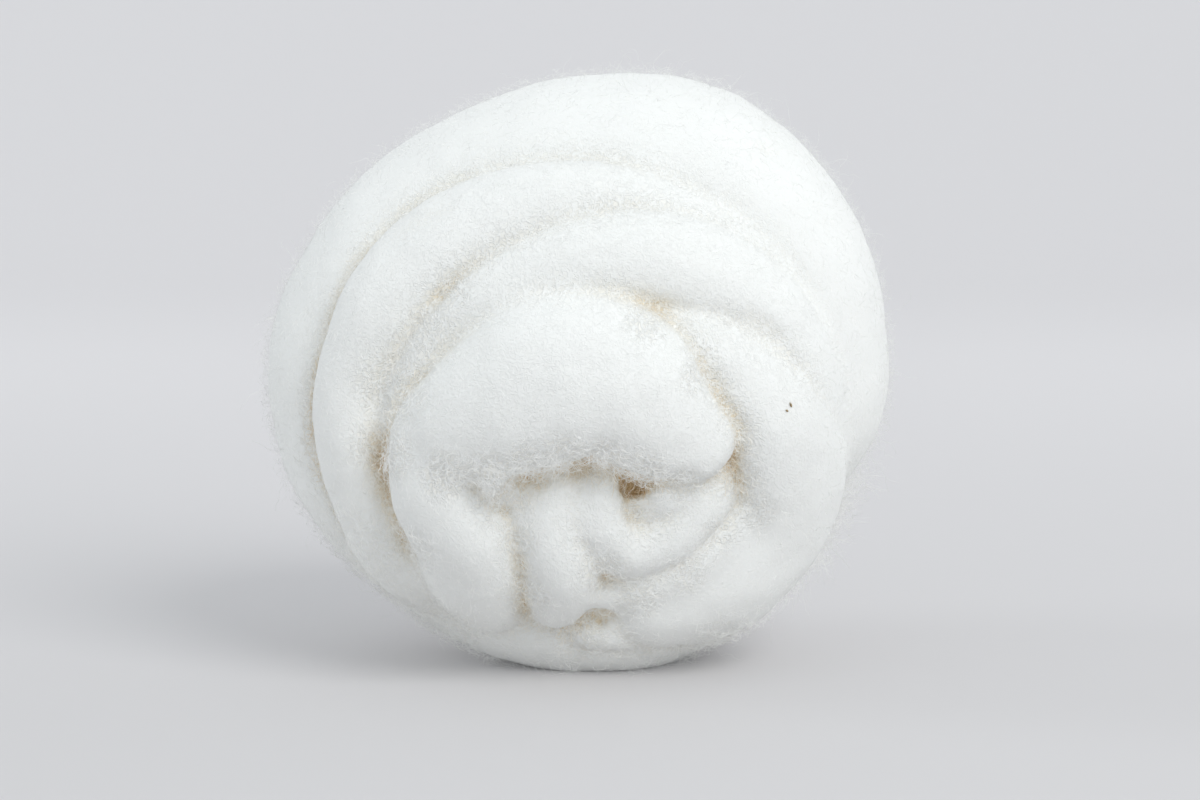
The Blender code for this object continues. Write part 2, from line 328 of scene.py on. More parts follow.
def add_roll(bm, rows, closed, number):
    """Lofts one roll into `bm` and returns its length."""
    layers = bm.verts.layers
    lay, measure = layers.float_vector["lay"], layers.float_vector["measure"]
    which = layers.int["roll"]
    stations = smooth_stations(rows, closed)
    count = len(stations)
    steps = [(stations[(i + 1) % count][0] - stations[i][0]).length for i in range(count)]
    whole = sum(steps if closed else steps[:-1])

    def vertex(place, along, run, across):
        v = bm.verts.new(place)
        v[lay], v[measure], v[which] = along, (run, across, 0), number
        return v

    def bridge(first, second):
        for k in range(SECTION_SIDES):
            n = (k + 1) % SECTION_SIDES
            bm.faces.new((first[k], first[n], second[n], second[k]))

    rings, run = [], 0
    for i, (middle, *sizes) in enumerate(stations):
        ahead = stations[(i + 1) % count if closed else min(i + 1, count - 1)][0]
        behind = stations[i - 1 if closed else max(i - 1, 0)][0]
        along = (ahead - behind).normalized()
        so_far = (min(run, whole - run) if closed else run) * MM
        ring = section(middle, along, *sizes)
        rings.append([vertex(place, along, so_far, across) for place, across in ring])
        run += steps[i]
    for first, second in zip(rings, rings[1:] + (rings[:1] if closed else [])):
        bridge(first, second)
    if closed:
        return whole
    for first, second in ((0, 1), (-1, -2)):
        ring, end, inner = rings[first], stations[first], stations[second]
        out = (end[0] - inner[0]).normalized()
        centre, nose, previous = end[0] * MM, end[-1] * END_ROUNDING * MM, ring
        for share in END_RINGS:
            shrink = math.sqrt(1 - share**2)
            cap = []
            for v in ring:
                place = centre + (v.co - centre) * shrink + out * (nose * share)
                cap.append(vertex(place, v[lay], *v[measure][:2]))
            bridge(previous, cap)
            previous = cap
        bm.faces.new(previous)
    return whole


print("a roll has", SECTION_SIDES, "sides")

# %% All the rolls
bm = bmesh.new()
bm.verts.layers.float_vector.new("lay")
bm.verts.layers.float_vector.new("measure")
bm.verts.layers.int.new("roll")
number, strand_length = 0, 0
for tables, place, closed in (
    (TURNS, at_latitude, True),
    (PASSES, at_latitude, False),
    (FOLDS, on_face, False),
    (BACK_FOLDS, on_back, False),
):
    for table in tables.values():
        strand_length += add_roll(bm, rows_below(place, table), closed, number)
        number += 1
bmesh.ops.recalc_face_normals(bm, faces=bm.faces)
bmesh.ops.translate(bm, verts=bm.verts, vec=STANDING_SHIFT * MM)
rolls = placed("rolls", mesh_from(bm, "rolls"))
print(number, "rolls,", round(strand_length * MM, 2), "m of strand on show")

# %% [markdown]
# ## Fusing the turns
# The turns of a real ball cling to one another: their fibres mingle where they touch, so a crease
# is soft. A voxel remesh does the same to the rolls and the wool inside them. It melts
# overlapping shapes into one closed skin, and a little smoothing takes away its steps.

# %% The wool inside, and one skin round everything
CORE_INSET, FACE_INSET, BACK_INSET = 11.5, 24, 6.5
FACE_FADE, BACK_FADE = 4, 2
VOXEL = 1 * MM
SMOOTHING_PASSES = 6


def soften(obj, passes, group=""):
    """Smooths an object, or only a vertex group of it, with a modifier."""
    smooth = obj.modifiers.new("soften", "SMOOTH")
    smooth.factor, smooth.iterations, smooth.vertex_group = 0.5, passes, group


def settle(obj):
    """Replaces an object's mesh and modifiers by the evaluated mesh."""
    bpy.context.view_layer.update()
    evaluated = obj.evaluated_get(bpy.context.evaluated_depsgraph_get())
    made = bpy.data.meshes.new_from_object(evaluated)
    made.name = obj.name
    obj.modifiers.clear()
    obj.data = made
    return made


bm = bmesh.new()
bm.from_mesh(rolls.data)
for v in bmesh.ops.create_icosphere(bm, subdivisions=5, radius=1)["verts"]:
    x, y, z = v.co
    forward = math.degrees(math.asin(max(-1, min(1, -y))))
    inset = CORE_INSET
    inset += (FACE_INSET - CORE_INSET) * max(-y, 0) ** FACE_FADE
    inset += (BACK_INSET - CORE_INSET) * max(y, 0) ** BACK_FADE
    inner = at_latitude(math.degrees(math.atan2(z, x)), forward, inset)
    v.co = (inner + STANDING_SHIFT) * MM
wool_body = placed("wool_body", mesh_from(bm, "fused"))
remesh = wool_body.modifiers.new("one_skin", "REMESH")
remesh.mode = "VOXEL"
remesh.voxel_size = VOXEL
soften(wool_body, SMOOTHING_PASSES)
skin = settle(wool_body)
print("skin:", len(skin.vertices), "points,", len(skin.polygons), "faces")

# %% [markdown]
# ## Writing node trees as expressions
# Node trees for geometry and for materials are both long lists of small sums. `Wire` stands for
# one output socket, and Python's own operators on it add the Math or Vector Math nodes, so a rule
# reads as a formula. `Tree` makes any other node.


# %% Wires and trees
class Wire:
    """An output socket of a node, on which operators add Math and Vector Math nodes."""

    def __init__(self, tree, socket):
        self.tree, self.socket = tree, socket

    def other(self, name):
        """Another output of the same node."""
        found = (s for s in self.socket.node.outputs if name in (s.identifier, s.name))
        return Wire(self.tree, next(s for s in found if s.enabled))

    def __neg__(self):
        return self * -1


def is_vector(value):
    return value.socket.type == "VECTOR" if isinstance(value, Wire) else isinstance(value, tuple)


def operator(operation, turned):
    """A method of Wire that adds the node of an operation."""

    def add_node(wire, value):
        first, second = (value, wire) if turned else (wire, value)
        vectors = is_vector(first), is_vector(second)
        if not any(vectors):
            return wire.tree.math(operation, first, second)
        if operation == "MULTIPLY" and not all(vectors):
            vector, factor = (first, second) if vectors[0] else (second, first)
            scaled = {0: vector, "Scale": factor}
            return wire.tree.node("ShaderNodeVectorMath", scaled, operation="SCALE")
        return wire.tree.vector(operation, first, second)

    return add_node


for name, operation in zip(
    ("add", "sub", "mul", "truediv", "pow", "gt"),
    ("ADD", "SUBTRACT", "MULTIPLY", "DIVIDE", "POWER", "GREATER_THAN"),
):
    setattr(Wire, f"__{name}__", operator(operation, False))
    setattr(Wire, f"__r{name}__", operator(operation, True))


class Tree:
    """A node tree that is filled by calls."""

    def __init__(self, group):
        self.group = group

    def node(self, kind, inputs=(), **settings):
        """Any node, with its sockets by name, identifier or index."""
        made = self.group.nodes.new(kind)
        for name, value in settings.items():
            setattr(made, name, value)
        for key, value in dict(inputs).items():
            if isinstance(key, int):
                socket = made.inputs[key]
            else:
                found = (s for s in made.inputs if key in (s.identifier, s.name))
                socket = next(s for s in found if s.enabled)
            if isinstance(value, Wire):
                self.group.links.new(value.socket, socket)
            else:
                socket.default_value = value
        return Wire(self, next(s for s in made.outputs if s.enabled))

    def math(self, operation, *values):
        return self.node("ShaderNodeMath", enumerate(values), operation=operation)

    def vector(self, operation, *values):
        return self.node("ShaderNodeVectorMath", enumerate(values), operation=operation)

    def clamp(self, value):
        return self.node("ShaderNodeClamp", {"Value": value})

    def between(self, value, low, high):
        """A smooth step from 0 at `low` to 1 at `high`."""
        inputs = {"Value": value, "From Min": low, "From Max": high}
        return self.node("ShaderNodeMapRange", inputs, interpolation_type="SMOOTHSTEP")

    def cloud(self, vector, scale=1, detail=1):
        """Smooth noise with `scale` spots a metre."""
        inputs = {"Vector": vector, "Scale": scale, "Detail": detail}
        return self.node("ShaderNodeTexNoise", inputs)

    def kept(self, name):
        """An attribute of the mesh, read in a material."""
        return self.node("ShaderNodeAttribute", attribute_name=name).other("Fac")

    def split(self, vector):
        return self.node("ShaderNodeSeparateXYZ", {"Vector": vector})

    def mix(self, share, first, second):
        """A colour between two."""
        inputs = {"Factor_Float": share, "A_Color": first, "B_Color": second}
        return self.node("ShaderNodeMix", inputs, data_type="RGBA").other("Result_Color")

    def ramp(self, value, stops):
        """Colours blended between stops, each a position and a colour."""
        made = self.node("ShaderNodeValToRGB", {"Fac": value})
        blend = made.socket.node.color_ramp
        while len(blend.elements) < len(stops):
            blend.elements.new(0.5)
        for element, (position, colour) in zip(blend.elements, stops):
            element.position, element.color = position, (*colour, 1)
        return made

    def feed(self, wire, node, name):
        self.group.links.new(wire.socket, node.inputs[name])


class GeometryTree(Tree):
    """A Geometry Nodes tree with named inputs and one geometry output."""

    def __init__(self, name):
        super().__init__(bpy.data.node_groups.new(name, "GeometryNodeTree"))
        self.socket("Geometry", "OUTPUT", "Geometry")
        self.sockets = {}

    def socket(self, name, side, kind):
        kind = "NodeSocket" + kind
        return self.group.interface.new_socket(name, in_out=side, socket_type=kind)

    def takes(self, **inputs):
        """The wires of new inputs, each declared by type and usual value."""
        for name, (kind, usual) in {"Geometry": ("Geometry", None), **inputs}.items():
            socket = self.socket(name.replace("_", " "), "INPUT", kind)
            if usual is not None:
                socket.default_value = usual
            self.sockets[name] = socket.identifier
        entry = self.group.nodes.new("NodeGroupInput")
        return [Wire(self, entry.outputs[i]) for i in range(len(self.sockets))]

    def gives(self, geometry):
        self.feed(geometry, self.group.nodes.new("NodeGroupOutput"), 0)

    def geo(self, kind, inputs=(), **settings):
        return self.node("GeometryNode" + kind, inputs, **settings)

    def attribute(self, name, kind="FLOAT"):
        return self.geo("InputNamedAttribute", {"Name": name}, data_type=kind)

    def store(self, geometry, name, value, kind="FLOAT", domain="POINT"):
        inputs = {"Geometry": geometry, "Name": name, "Value": value}
        return self.geo("StoreNamedAttribute", inputs, data_type=kind, domain=domain)

    def nearest(self, surface, value, kind="FLOAT_VECTOR", group=None):
        """A value at the nearest point of a surface, or of a group of it."""
        inputs = {"Mesh": surface, "Value": value}
        if group is not None:
            inputs.update({"Group ID": group, "Sample Group ID": group})
        return self.geo("SampleNearestSurface", inputs, data_type=kind)

    def random(self, low, high, seed, number):
        inputs = {"Min_001": low, "Max_001": high, "Seed": seed, "ID": number}
        return self.node("FunctionNodeRandomValue", inputs, data_type="FLOAT")

    def repeat(self, geometry, times, step):
        """A repeat zone, in which `step` gives the next geometry."""
        start = self.group.nodes.new("GeometryNodeRepeatInput")
        end = self.group.nodes.new("GeometryNodeRepeatOutput")
        start.pair_with_output(end)
        self.feed(times, start, "Iterations")
        self.feed(geometry, start, "Geometry")
        now, iteration = (Wire(self, start.outputs[name]) for name in ("Geometry", "Iteration"))
        self.feed(step(now, iteration), end, "Geometry")
        return Wire(self, end.outputs["Geometry"])

    def on(self, obj, **values):
        """Puts the tree on an object and sets its inputs by identifier."""
        modifier = obj.modifiers.new(self.group.name, "NODES")
        modifier.node_group = self.group
        for name, value in values.items():
            modifier[self.sockets[name]] = value


print("helpers ready")

# %% [markdown]
# ## What each spot of the wool knows
# The remesh forgot which roll each spot belongs to, and the shape, the fibres and the colour all
# need to know. A Geometry Nodes tree looks back at the separate rolls and writes onto the skin
# the number of the nearest roll, the direction of its strand, and its measure, as a UV map with
# the name `strand_run`.

# %% The tree that reads the rolls
reading = GeometryTree("read_the_rolls")
geometry, source = reading.takes(Rolls=("Object", None))
surface = reading.geo("ObjectInfo", {"Object": source}).other("Geometry")
roll_number = reading.attribute("roll", "INT")
nearest_roll = reading.nearest(surface, roll_number, "INT")
body = reading.store(geometry, "roll", nearest_roll, "INT", "FACE")
lay = reading.nearest(surface, reading.attribute("lay", "FLOAT_VECTOR"))
body = reading.store(body, "lay", lay, "FLOAT_VECTOR")
measure = reading.attribute("measure", "FLOAT_VECTOR")
measured = reading.nearest(surface, measure, group=roll_number)
reading.gives(reading.store(body, "strand_run", measured, "FLOAT2", "CORNER"))
print("tree:", reading.group.name, "with", len(reading.group.nodes), "nodes")

# %% Read them
reading.on(wool_body, Rolls=rolls)
skin = settle(wool_body)
print("attributes:", [a.name for a in skin.attributes if not a.name.startswith(".")])

# %% [markdown]
# ## Seams
# Where the number of the roll changes from one face to the next, two turns meet. Their seam is
# narrow and deep where the strand was pulled tight, and elsewhere hardly a line is left. The
# table gives that tightness for each pair of rolls, at places (x, z) along the way. A pair with a
# tightness of 0 is one length of strand that was lofted in two pieces, and the skin is smoothed
# there until they melt into one. Two more tables list spots: where turns have mingled, and where
# the wool is rubbed up and shaggy.

# %% Tightness of the seams
USUAL_TIGHTNESS = 0.4
SEAMS = {
    ("outer_turn", "second_turn"): [
        (-50, 34, 1), (-55, 53, 1.5), (-50, 74, 0.85), (-46, 84, 0.6), (-39, 95, 0.5),
        (-31, 102, 0.5), (-15, 108, 0.45), (5, 106, 0.35), (22, 100, 0.2), (36, 93, 0.12),
        (50, 80, 0.05),
    ],
    ("second_turn", "third_turn"): [
        (-40, 48, 0.15), (-38, 62, 0.15), (-34, 74, 0.3), (-26, 85, 0.7), (-15, 93, 0.6),
        (-3, 99, 0.4), (9, 101, 0.45), (22, 100, 0.3), (36, 93, 0.15), (50, 75, 0.05),
    ],
    ("second_turn", "left_lobe"): [(-38, 52, 0.9), (-38, 40, 0.45), (-30, 20, 0.2)],
    ("third_turn", "left_lobe"): [(-38, 48, 0.8), (-36, 60, 0.6)],
    ("third_turn", "hood"): [
        (-38, 50, 0.9), (-37, 60, 0.6), (-33, 69, 0.4), (-14, 84, 0.15), (0, 87, 0.2),
        (12, 83, 0.4), (20, 74, 0.45),
    ],
    ("third_turn", "right_lobe"): [
        (12, 83, 0.3), (24, 80, 0.15), (35, 76, 0.3), (40, 72, 0.35), (55, 50, 0.05),
    ],
    ("right_lobe", "hood"): [(20, 75, 0.35), (22, 66, 0.8), (31, 51, 0.75), (32, 43, 0.75)],
    ("left_lobe", "hood"): [(-30, 50, 0)],
    ("hood", "hood_tip"): [(-18, 48, 0)],
    ("left_lobe", "hood_tip"): [(-24, 44, 0.5), (-15, 40, 0.7)],
    ("left_lobe", "strip"): [(-10, 22, 0.9), (-12, 32, 0.45), (-13, 42, 0.4), (-8, 10, 0.5)],
    ("hood", "strip"): [(-6, 46, 0.5)],
    ("hood", "loop"): [(3, 46, 0.5), (11, 45, 0.8)],
    ("hood", "tuck"): [(12, 42, 0.9), (20, 42, 0.5), (30, 42, 0.7)],
    ("loop", "tuck"): [(11, 38, 0.6), (15, 33, 0.3), (24, 37, 0.1)],
    ("right_lobe", "tuck"): [(32, 42, 0.7)],
    ("strip", "loop"): [(0, 40, 0.12), (2, 26, 0.4)],
    ("right_lobe", "loop"): [(10, 17, 0.5), (24, 27, 0.3), (33, 42, 0.6)],
    ("loop", "under_loop"): [(8, 20, 0.2), (20, 24, 0.35), (33, 40, 0.6)],
    ("right_lobe", "under_loop"): [(10, 16, 0), (30, 27, 0), (36, 38, 0)],
    ("strip", "under_loop"): [(4, 18, 0.1)],
    ("under_loop", "bottom_roll"): [(6, 13, 0.15)],
    ("right_lobe", "strip"): [(6, 21, 0.2)],
    ("outer_turn", "third_turn"): [(55, 56, 0.03)],
    ("outer_turn", "right_lobe"): [(55, 40, 0.03)],
    ("strip", "bottom_roll"): [(0, 12, 0.8)],
    ("right_lobe", "bottom_roll"): [(12, 9, 0.35)],
}
SEAM_DEPTH = 1.4
# Half widths of a seam's draw-in, of the tan painted along it as shade, and of its fuzz.
SEAM_HALF_WIDTH, PAINTED_SHADE_HALF_WIDTH, FUZZ_HALF_WIDTH = 1.1, 1.3, 3.6
# Tightness changes from patch to patch, by this much about this middle.
SEAM_PATCH, PATCH_MIDDLE, PATCH_CHANGE = 14 * MM, 0.85, 0.5
NO_SEAM = 0.02
# How far a row of SEAMS holds unweakened, and how fast it weakens beyond.
ROW_REACH, ROW_FALL = 2, 1.5
# Columns: x, z, how far round, and how wholly.
MINGLED = [
    (-13, 38, 6, 0.8), (-42, 43, 6, 0.7), (6, 19, 5, 1), (-9, 49, 7, 0.5), (0, 38, 6, 1),
    (3, 27, 5, 0.6), (14, 15, 8, 1), (28, 22, 9, 1), (37, 32, 8, 1), (-41, 58, 7, 0.8),
    (-10, 18, 6, 0.7), (-8, 9, 6, 0.7), (4, 14, 6, 0.7), (24, 38, 6, 0.8), (14, 33, 4, 0.6),
    (-31, 20, 10, 1), (-37, 34, 6, 0.7), (-20, 43, 5, 0.5), (55, 42, 14, 1), (52, 68, 12, 0.9),
    (42, 20, 9, 0.4), (-8, 82, 9, 0.7),
]
# Columns: x, z, how far round, and how much.
SHAGGY = [
    (-26, 46, 5, 0.9), (-17, 45, 6, 1), (-10, 48, 5, 1), (-3, 50, 5, 1), (5, 49, 5, 1),
    (13, 46, 5, 1), (21, 44, 4, 0.8), (27, 44, 4, 0.5), (32, 44, 5, 0.9), (36, 37, 4, 0.6),
    (-12, 32, 4, 0.7), (-9, 20, 4, 0.7), (5, 25, 5, 0.8), (12, 19, 5, 0.7), (22, 24, 4, 0.6),
    (29, 33, 4, 0.6), (-39, 50, 6, 0.9), (-37, 63, 7, 0.8), (-29, 74, 6, 0.6),
    (-34, 30, 5, 0.6), (-25, 82, 4, 0.7), (14, 78, 5, 0.7), (24, 66, 4, 0.7), (-26, 10, 6, 0.6),
    (0, 8, 6, 0.6), (30, 7, 6, 0.5), (-44, 27, 10, 0.35), (-34, 12, 9, 0.35),
]
roll_names = [*TURNS, *PASSES, *FOLDS, *BACK_FOLDS]


def tightness_at(first, second, place):
    """How tight a seam is at a place, mostly by the nearest rows of its table."""
    rows = SEAMS.get((roll_names[first], roll_names[second]))
    if rows is None:
        return USUAL_TIGHTNESS
    x_here, z_here = place.x / MM, place.z / MM
    apart = [(x_here - x) ** 2 + (z_here - z) ** 2 for x, z, _ in rows]
    weights = [1 / (square + ROW_REACH**2) ** ROW_FALL for square in apart]
    return sum(w * row[2] for w, row in zip(weights, rows)) / sum(weights)


def fade(away, half_width, power=2):
    return math.exp(-((away / (half_width * MM)) ** power))


def raise_spots(values, table):
    """Raises the values of the points round the spots of a table."""
    for v in skin.vertices:
        if v.co.y < 0:
            for x, z, radius, share in table:
                away = math.hypot(v.co.x - x * MM, v.co.z - z * MM)
                values[v.index] = max(values[v.index], share * fade(away, radius, 4))


bm = bmesh.new()
bm.from_mesh(skin)
roll_of_face = bm.faces.layers.int["roll"]
meetings = []
for edge in bm.edges:
    first, second = sorted(f[roll_of_face] for f in edge.link_faces)
    if first != second:
        middle = (edge.verts[0].co + edge.verts[1].co) / 2
        patch = noise.noise(middle / SEAM_PATCH + Vector((7, 3, 1)))
        patch = PATCH_MIDDLE + PATCH_CHANGE * patch
        meetings.append((middle, tightness_at(first, second, middle) * patch))
bm.free()
tree_of_meetings = KDTree(len(meetings))
for i, (middle, _) in enumerate(meetings):
    tree_of_meetings.insert(middle, i)
tree_of_meetings.balance()
draw_in, seam, fuzz, melt = np.zeros((4, len(skin.vertices)))
# `seam` is the tan painted along the seams as shade.
bands = (draw_in, SEAM_HALF_WIDTH), (seam, PAINTED_SHADE_HALF_WIDTH), (fuzz, FUZZ_HALF_WIDTH)
for v in skin.vertices:
    for _, i, away in tree_of_meetings.find_range(v.co, 2 * FUZZ_HALF_WIDTH * MM):
        tight = meetings[i][1]
        for values, half_width in bands:
            values[v.index] = max(values[v.index], tight * fade(away, half_width))
        if tight < NO_SEAM:
            melt[v.index] = max(melt[v.index], fade(away, FUZZ_HALF_WIDTH))
# Nothing melts next to a tight seam.
melt *= 1 - np.clip(fuzz * 1.5, 0, 1)
raise_spots(melt, MINGLED)
raise_spots(fuzz, SHAGGY)
near_seams = round(float((seam > 0.3).mean()), 3)
print("edges on seams:", len(meetings), "- share of the skin near a tight one:", near_seams)

# %% [markdown]
# ## Creases, dents and the pressed flat
# Hand-wound wool is never as even as a loft. A few short creases run where the strand was pinched
# or split, and the deepest is the small hole under the hood. The surface has low dents, and the
# underside is pressed flat by the ball's own weight. Moving the points of the skin is enough for
# all of this, and each crease also gets a tan painted into the colour as shade.

# %% Move the points
# Each crease: its (x, z) points on the face, half width and depth.
CREASES = [
    ([(-40, 90), (-33, 95), (-24, 100)], 1.8, 0.4), ([(33, 78), (37, 75), (42, 71)], 1.9, 0.8),
    ([(36, 111), (41, 108)], 1.2, 0.6), ([(10.5, 41), (11.5, 43.5), (12.5, 45.5)], 1.8, 3.4),
    ([(10, 36), (12, 38.5), (14.5, 41)], 2.4, 1.1),
    ([(-17, 38.5), (-15, 40.5), (-12, 44), (-9, 45), (-6, 43)], 1.7, 1.8),
    ([(3.5, 13), (4.5, 12.4), (5.5, 12)], 1.3, 1.5),
]
# How deep and how wide the dents are.
DENTS = [(0.45, 15), (0.25, 6)]
MELTING_PASSES = 40
# How much tan a crease gets painted as shade, for each millimetre of its depth.
CREASE_PAINTED_SHADE = 0.4

melting = wool_body.vertex_groups.new(name="melt")
for i in np.flatnonzero(melt > NO_SEAM):
    melting.add([int(i)], float(melt[i]), "REPLACE")
soften(wool_body, MELTING_PASSES, "melt")
skin = settle(wool_body)
wool_body.vertex_groups.clear()


def numbers(holder, kind, width):
    """What a collection holds, as an array with `width` numbers a row."""
    found = np.empty(len(holder) * width, dtype=np.float32)
    holder.foreach_get(kind, found)
    return found.reshape(-1, width).astype(np.float64)


def keep(name, values):
    """Writes an attribute on the skin's points."""
    made = skin.attributes.new(name, "FLOAT", "POINT")
    made.data.foreach_set("value", np.asarray(values, dtype=np.float32))


points, normals = (numbers(skin.vertices, kind, 3) for kind in ("co", "normal"))
push = -SEAM_DEPTH * draw_in
on_front = points[:, 1] < 0
flat_places = points[:, [0, 2]] / MM
for line, half_width, depth in CREASES:
    nearest = np.full(len(points), np.inf)
    along = np.zeros(len(points))
    line = np.array(line, dtype=float)
    spans = np.linalg.norm(np.diff(line, axis=0), axis=1)
    before = 0
    for start, end, span in zip(line[:-1], line[1:], spans):
        t = np.clip(((flat_places - start) @ (end - start)) / span**2, 0, 1)
        away = np.linalg.norm(flat_places - (start + t[:, None] * (end - start)), axis=1)
        closer = away < nearest
        nearest = np.where(closer, away, nearest)
        along = np.where(closer, (before + t * span) / spans.sum(), along)
        before += span
    tapered = np.sqrt(np.clip(4 * along * (1 - along), 0, 1))
    crease = on_front * np.exp(-((nearest / half_width) ** 2)) * tapered
    push -= depth * crease
    # Painted shade: the crease's tan goes into `seam` as well.
    seam = np.maximum(seam, CREASE_PAINTED_SHADE * depth * crease)
for height, size in DENTS:
    push += [height * noise.noise(Vector(place / (size * MM))) for place in points]
points += normals * push[:, None] * MM
points[:, 2] = np.maximum(points[:, 2], 0)
skin.vertices.foreach_set("co", points.astype(np.float32).reshape(-1))
skin.update()
# `seam` carries the painted shade of seams and creases to the materials.
keep("seam", seam)
print("points on the flat:", int((points[:, 2] < 1e-6).sum()))

# %% [markdown]
# ## How shut in each spot is
# Light that has bounced many times in a crease comes out tan, because wool takes a little of the
# blue each time. So a second tree sends rays out from every point and counts how soon they meet
# wool again: in a hole nearly all do, and on the crown of a turn hardly any.

# %% The tree that looks around
RAYS = 40
RAY_LENGTH = 18 * MM
RAY_START = 0.3 * MM
RAY_SPREAD = 0.98

looking = GeometryTree("look_around")
skin_now, rays, reach = looking.takes(Rays=("Int", RAYS), Ray_Length=("Float", RAY_LENGTH))
place = looking.geo("InputPosition")
normal = looking.geo("InputNormal")


def send_ray(so_far, round_number):
    """Adds to `shut_in` how soon one random ray meets the wool."""
    limits = {"Min": (-1, -1, -1), "Max": (1, 1, 1), "Seed": round_number}
    scatter = looking.node("FunctionNodeRandomValue", limits, data_type="FLOAT_VECTOR")
    inputs = {
        "Target Geometry": skin_now,
        "Source Position": place + normal * RAY_START,
        "Ray Direction": normal + looking.vector("NORMALIZE", scatter) * RAY_SPREAD,
        "Ray Length": reach,
    }
    ray = looking.geo("Raycast", inputs)
    met = ray * (1 - ray.other("Hit Distance") / reach)
    return looking.store(so_far, "shut_in", looking.attribute("shut_in") + met)


body = looking.repeat(looking.store(skin_now, "shut_in", 0.0), rays, send_ray)
inputs = {"Value": looking.attribute("shut_in") / rays, "Iterations": 4}
blurred = looking.geo("BlurAttribute", inputs, data_type="FLOAT")
looking.gives(looking.store(body, "shut_in", blurred))
print("tree:", looking.group.name, "with", len(looking.group.nodes), "nodes")

# %% Look around
# Fuzz grows where a spot is more shut in than this, at this rate and by this at most.
SHUT_FROM, SHUT_RATE, SHUT_MOST = 0.25, 1.5, 0.6
# Where the wisp stands, and how far it spreads.
WISP_PLACE, WISP_SPREAD = (57, 4, 30), (12, 9, 9)

looking.on(wool_body, Rays=RAYS, Ray_Length=RAY_LENGTH)
skin = settle(wool_body)
shut_in = numbers(skin.attributes["shut_in"].data, "value", 1)[:, 0]
grown = np.clip((shut_in - SHUT_FROM) * SHUT_RATE, 0, SHUT_MOST)
keep("fuzz", np.clip(fuzz + grown, 0, 1))
# The lip is the shaggiest fifth of the scale.
keep("lip", np.clip(fuzz * 5 - 4, 0, 1))
keep("all_over", np.ones(len(skin.vertices)))
from_wisp = (numbers(skin.vertices, "co", 3) / MM - WISP_PLACE) / WISP_SPREAD
keep("wisp", np.exp(-(from_wisp**2).sum(axis=1)))
print("shut in, at shares of the wool:", np.round(np.quantile(shut_in, [0.1, 0.5, 0.9, 0.999]), 2))

# %% [markdown]
# ## The fused wool's finish
# Carded wool is matt, and its fibres all lie along the strand, so light picks out long faint
# streaks. They are noise stretched along `strand_run`, which follows every bend of the strand.
# Thin winding lines stand for the fibres too fine to be laid one by one, most of all where the
# wool is shaggy and on the front, which is seen from nearest; the gaps between them get painted
# shade, deeper in hollows and shaggy spots. The tan of the creases and seams is painted shade as
# well: light bounced in a crease comes out tan, and `shut_in` says how much.

# %% The wool material
# The wool's own cream at 0, then the tan painted as shade in creases and seams.
WOOL_AND_PAINTED_SHADE_TONES = [
    (0, (0.885, 0.893, 0.872)),
    (0.35, (0.855, 0.832, 0.76)),
    (0.7, (0.765, 0.665, 0.5)),
    (1, (0.64, 0.44, 0.22)),
]
ROUGH_AS_WOOL = 0.95
# Locks and streaks a metre, along the strand and across it.
LOCKS, STREAKS = (45, 420, 0), (160, 2200, 0)
# Tufts of down, and patches of the tan painted as shade along the seams, a metre.
TUFTS, PATCHES = 1100, 90
# Curled fibres a metre, and how far aside each set of them is taken from.
CURLS = [(560, 0), (680, 0.31), (800, 0.77)]
CURL_FINENESS = 22
# How far in front of the middle the near side begins and is whole.
FRONT = (26 * MM, 40 * MM)
RELIEF = 0.35 * MM


def finish(name, sheen):
    """A new matt material: its tree and its shader."""
    made = bpy.data.materials.new(name)
    made.use_nodes = True
    shader = made.node_tree.nodes["Principled BSDF"]
    for socket, value in (
        ("Roughness", ROUGH_AS_WOOL),
        ("Specular IOR Level", 0.1),
        ("Sheen Weight", sheen),
        ("Sheen Roughness", 0.6),
    ):
        shader.inputs[socket].default_value = value
    return made, Tree(made.node_tree), shader


wool, tree, shader = finish("carded_wool", 0.15)
along_strand = tree.node("ShaderNodeUVMap", uv_map="strand_run")
in_space = tree.node("ShaderNodeTexCoord").other("Object")
# Read for painted shade: `shut_in` and `seam` give the tan, and `fuzz` darkens the gaps in shaggy
# spots.
hollow, painted_seam_shade, shaggy = (tree.kept(name) for name in ("shut_in", "seam", "fuzz"))
locks = tree.cloud(along_strand * LOCKS, detail=3)
streaks = tree.cloud(along_strand * STREAKS, detail=2)
down = tree.cloud(in_space, TUFTS, 3)
patches = tree.cloud(in_space, PATCHES, 2)
front = tree.between(-tree.split(in_space).other("Y"), *FRONT)


def curls(per_metre, aside):
    """Thin winding lines, where a smooth noise passes through its middle."""
    cloud = tree.cloud(in_space + (aside, aside, aside), per_metre)
    return tree.clamp(1 - ((cloud - 0.5) * CURL_FINENESS) ** 2)


bare = 1
for per_metre, aside in CURLS:
    bare = (1 - curls(per_metre, aside)) * bare
# Painted shade: tan by how shut in a spot is, and along seams and creases in patches and between
# the curl lines.
depth = tree.between(hollow, 0.05, 0.55) * 0.9 + painted_seam_shade * (0.05 + 0.25 * patches + 0.25 * bare)
shade = depth + (locks - 0.5) * 0.05 + (streaks - 0.5) * 0.04
